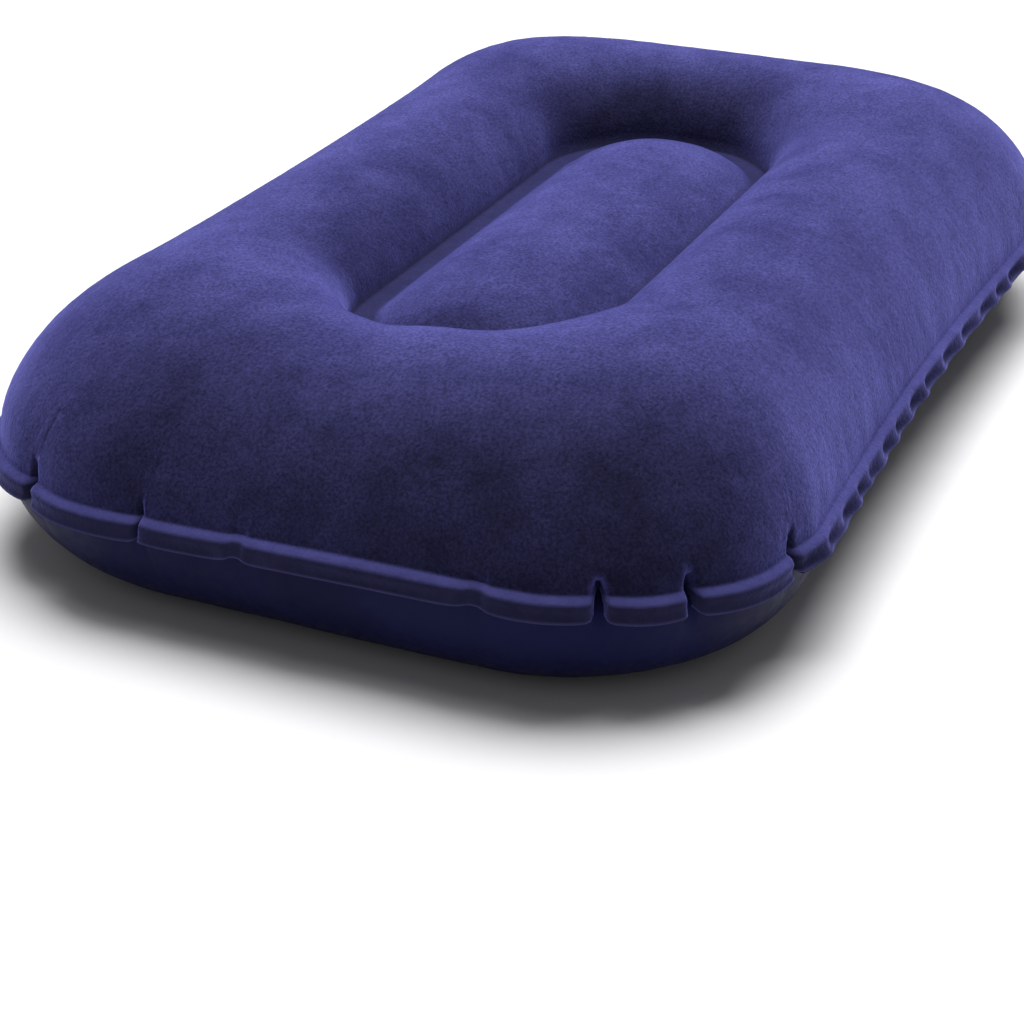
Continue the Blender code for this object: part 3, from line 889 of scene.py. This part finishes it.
class Finish:
    """A Principled material with short helpers for its nodes."""

    def __init__(self, name):
        self.material = bpy.data.materials.new(name)
        self.material.use_nodes = True
        self.nodes = self.material.node_tree.nodes
        self.links = self.material.node_tree.links
        self.shader = self.nodes["Principled BSDF"]
        self.place = self.nodes.new("ShaderNodeTexCoord").outputs["Object"]

    def set(self, **values):
        for socket, value in values.items():
            self.shader.inputs[socket.replace("_", " ")].default_value = value

    def node(self, kind, **inputs):
        made = self.nodes.new(kind)
        for socket, value in inputs.items():
            target = made.inputs[socket.replace("_", " ")]
            if isinstance(value, bpy.types.NodeSocket):
                self.links.new(value, target)
            else:
                target.default_value = value
        return made

    def noise(self, scale, detail, rough):
        return self.node("ShaderNodeTexNoise", Vector=self.place, Scale=scale, Detail=detail,
                         Roughness=rough).outputs["Fac"]

    def attribute(self, name):
        made = self.nodes.new("ShaderNodeAttribute")
        made.attribute_name = name
        return made.outputs["Fac"]

    def remap(self, value, low, high, to_low, to_high):
        made = self.node("ShaderNodeMapRange", Value=value)
        ends = {"From Min": low, "From Max": high, "To Min": to_low, "To Max": to_high}
        for socket, number in ends.items():
            made.inputs[socket].default_value = number
        return made.outputs["Result"]

    def math(self, operation, a, b):
        made = self.nodes.new("ShaderNodeMath")
        made.operation = operation
        for socket, value in zip(made.inputs, (a, b)):
            if isinstance(value, bpy.types.NodeSocket):
                self.links.new(value, socket)
            else:
                socket.default_value = value
        return made.outputs[0]

    def mix(self, factor, a, b):
        made = self.nodes.new("ShaderNodeMix")
        made.data_type = "RGBA"
        for index, value in ((0, factor), (6, a), (7, b)):
            socket = made.inputs[index]
            if isinstance(value, bpy.types.NodeSocket):
                self.links.new(value, socket)
            else:
                socket.default_value = value if index == 0 else (*value, 1.0)
        return made.outputs[2]

    def scaled(self, colour, factor):
        """A colour made lighter or darker."""
        made = self.nodes.new("ShaderNodeVectorMath")
        made.operation = "SCALE"
        self.links.new(colour, made.inputs[0])
        made.inputs["Scale"].default_value = factor
        return made.outputs[0]

    def bump(self, height, strength, distance, onto=None):
        made = self.node("ShaderNodeBump", Height=height, Strength=strength, Distance=distance)
        if onto is not None:
            self.links.new(onto, made.inputs["Normal"])
        return made.outputs["Normal"]

    def link(self, socket, value):
        self.links.new(value, self.shader.inputs[socket])


def flock_finish():
    """Short velvet pile: brushed nap, mottling and fine speckle; painted sheen in the base colour, dark face
    on and paler at a glance, and painted highlights on the ledge and the cut edge.
    """
    f = Finish("velvet_flock")
    f.set(Sheen_Weight=0.5, Sheen_Roughness=0.40, Sheen_Tint=(0.27, 0.27, 0.86, 1.0), Specular_IOR_Level=0.05)
    nap = f.noise(13.0, 5.0, 0.62)
    patches = f.noise(46.0, 4.0, 0.6)
    tufts = f.noise(190.0, 3.0, 0.6)
    speckle = f.noise(980.0, 2.0, 0.65)
    # Painted sheen: the base colour runs from deep (face on) to pale (at a glance) by the Layer Weight
    # facing, standing in for velvet's grazing sheen.
    glance = f.node("ShaderNodeLayerWeight", Blend=0.42).outputs["Facing"]
    tone = f.math("ADD", f.math("MULTIPLY", nap, 0.40), f.math("MULTIPLY", patches, 0.45))
    tone = f.math("ADD", tone, f.math("MULTIPLY", tufts, 0.15))
    mottle = f.remap(tone, 0.40, 0.60, 0.0, 1.0)
    deep = f.mix(mottle, (0.0088, 0.0086, 0.0265), (0.0180, 0.0175, 0.0565))
    pale = f.mix(mottle, (0.0420, 0.0410, 0.1620), (0.0760, 0.0750, 0.2650))
    colour = f.mix(f.remap(glance, 0.10, 0.80, 0.0, 1.0), deep, pale)
    colour = f.mix(f.remap(speckle, 0.28, 0.72, 0.0, 1.0), f.scaled(colour, 0.55), f.scaled(colour, 1.45))
    pressed = f.attribute("pressed")
    flattened = f.mix(tufts, (0.0085, 0.0083, 0.0265), (0.0175, 0.0170, 0.0540))
    colour = f.mix(f.math("MULTIPLY", pressed, 0.85), colour, flattened)
    # Painted highlight: the ledge gets a colour brighter than the rest of the flock, standing in for the
    # light its up-facing strip catches.
    ledge_painted_highlight = f.mix(tufts, (0.055, 0.054, 0.200), (0.095, 0.093, 0.310))
    colour = f.mix(f.math("MULTIPLY", f.attribute("ledge"), 0.5), colour, ledge_painted_highlight)
    # Painted highlight: a brighter line along the cut edge.
    colour = f.mix(f.math("MULTIPLY", f.attribute("cut"), 0.45), colour, (0.085, 0.083, 0.235))
    f.link("Base Color", colour)
    f.link("Roughness", f.remap(pressed, 0.0, 1.0, 0.95, 0.70))
    fine = f.bump(speckle, 0.45, 0.0005)
    brushed = f.bump(tufts, 0.30, 0.0010, fine)
    f.link("Normal", f.bump(patches, 0.35, 0.0035, brushed))
    return f.material


def film_finish():
    """Smooth soft PVC film, satin, with a faint orange peel."""
    f = Finish("satin_film")
    f.set(Specular_IOR_Level=0.10, Specular_Tint=(0.35, 0.42, 1.0, 1.0))
    cloud = f.remap(f.noise(22.0, 4.0, 0.55), 0.35, 0.65, 0.0, 1.0)
    f.link("Base Color", f.mix(cloud, (0.0050, 0.0052, 0.0290), (0.0072, 0.0078, 0.0430)))
    peel = f.noise(260.0, 2.0, 0.5)
    f.link("Roughness", f.remap(peel, 0.3, 0.7, 0.42, 0.56))
    f.link("Normal", f.bump(peel, 0.10, 0.0004))
    return f.material


def valve_finish():
    """Soft clear PVC, faintly blue and milky."""
    f = Finish("clear_soft_pvc")
    f.set(Transmission_Weight=0.55, IOR=1.53, Subsurface_Weight=0.10, Subsurface_Scale=0.002)
    haze = f.noise(420.0, 3.0, 0.5)
    f.link("Base Color", f.mix(f.remap(haze, 0.3, 0.7, 0.0, 1.0), (0.62, 0.68, 0.80), (0.74, 0.79, 0.88)))
    f.link("Roughness", f.remap(haze, 0.3, 0.7, 0.20, 0.34))
    f.link("Normal", f.bump(haze, 0.08, 0.0002))
    return f.material


# ------------------------------------------------------------------ room, light and camera

def build_stage():
    mesh = bpy.data.meshes.new("floor")
    turns = [2 * math.pi * k / FLOOR_STEPS for k in range(FLOOR_STEPS)]
    rim = [(FLOOR_R * math.cos(turn), FLOOR_R * math.sin(turn), 0.0) for turn in turns]
    mesh.from_pydata(rim, [], [list(range(FLOOR_STEPS))])
    floor = bpy.data.objects.new("floor", mesh)
    bpy.context.scene.collection.objects.link(floor)
    look = bpy.data.materials.new("pale_floor")
    look.use_nodes = True
    shader = look.node_tree.nodes["Principled BSDF"]
    shader.inputs["Base Color"].default_value = (0.74, 0.74, 0.75, 1)
    shader.inputs["Roughness"].default_value = 0.9
    mesh.materials.append(look)


def add_light(name, place, target, size, power):
    data = bpy.data.lights.new(name, "AREA")
    data.shape = "DISK"
    data.size = size
    data.energy = power
    lamp = bpy.data.objects.new(name, data)
    lamp.location = place
    lamp.rotation_euler = (Vector(target) - Vector(place)).to_track_quat("-Z", "Y").to_euler()
    bpy.context.scene.collection.objects.link(lamp)


def build_light():
    world = bpy.data.worlds.new("studio")
    world.use_nodes = True
    sky = world.node_tree.nodes["Background"]
    sky.inputs["Color"].default_value = (1.0, 1.0, 1.0, 1.0)
    ray = world.node_tree.nodes.new("ShaderNodeLightPath")
    strength = world.node_tree.nodes.new("ShaderNodeMapRange")
    strength.inputs["To Min"].default_value = SKY_LIGHT
    strength.inputs["To Max"].default_value = SKY_SEEN
    world.node_tree.links.new(ray.outputs["Is Camera Ray"], strength.inputs["Value"])
    world.node_tree.links.new(strength.outputs["Result"], sky.inputs["Strength"])
    bpy.context.scene.world = world
    add_light("overhead", (0.34, 0.0, 1.7), (0.0, 0.0, 0.0), 1.7, 49.0)
    add_light("fill", (-0.45, 0.1, 2.0), (0.05, 0.0, 0.05), 0.9, 7.5)
    bpy.context.scene.view_settings.view_transform = "Standard"


def build_camera():
    """A long lens, low over the pillow's -X end."""
    data = bpy.data.cameras.new("camera")
    data.sensor_width = 36.0
    data.lens = CAMERA_LENS
    camera = bpy.data.objects.new("camera", data)
    azimuth, elevation = math.radians(CAMERA_AZIMUTH), math.radians(CAMERA_ELEVATION)
    roll = math.radians(CAMERA_ROLL)
    back = Vector((-math.cos(azimuth) * math.cos(elevation), -math.sin(azimuth) * math.cos(elevation),
                   math.sin(elevation)))
    right = Vector((0, 0, 1)).cross(back).normalized()
    upward = back.cross(right)
    turned_right = right * math.cos(roll) + upward * math.sin(roll)
    turned_up = upward * math.cos(roll) - right * math.sin(roll)
    turn = Matrix((turned_right, turned_up, back)).transposed()
    camera.matrix_world = Matrix.Translation(CAMERA_PLACE) @ turn.to_4x4()
    bpy.context.scene.collection.objects.link(camera)
    bpy.context.scene.camera = camera


build_camera()
build_light()
build_stage()
flocked_top, smooth_bottom = build_skins()
build_valve()
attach(flocked_top, "pillow")
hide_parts("top_sheet")
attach(smooth_bottom, "pillow")
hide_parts("bottom_sheet")
